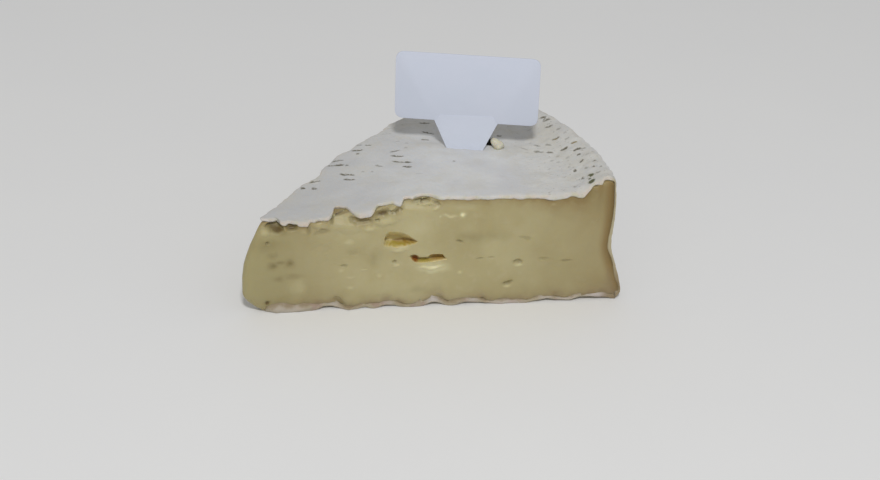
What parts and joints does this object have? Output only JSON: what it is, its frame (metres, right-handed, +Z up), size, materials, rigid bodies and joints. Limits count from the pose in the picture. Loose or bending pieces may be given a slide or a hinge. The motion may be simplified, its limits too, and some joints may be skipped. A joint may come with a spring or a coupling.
{
  "type": "brie de nangis wedge",
  "caption": "Cut wedge of soft white-rind brie with ripe straw-coloured paste, small eyes and a torn rind edge, lying on its rind, with a blank white label card stuck in its top.",
  "frame": {"origin": "under the middle of the part's box, on the surface that the wedge rests on", "axes": "+Z up. The front cut faces -Y and runs along X, with the tip of the wedge towards -X and the rim with its rind towards +X."},
  "size_m": [0.115, 0.0872, 0.067],
  "materials": {
    "paste": "satin",
    "rind": "matte",
    "card": "satin"
  },
  "bodies": {
    "root": {"cheese_wedge": "paste", "label_card": "card"}
  },
  "joints": []
}
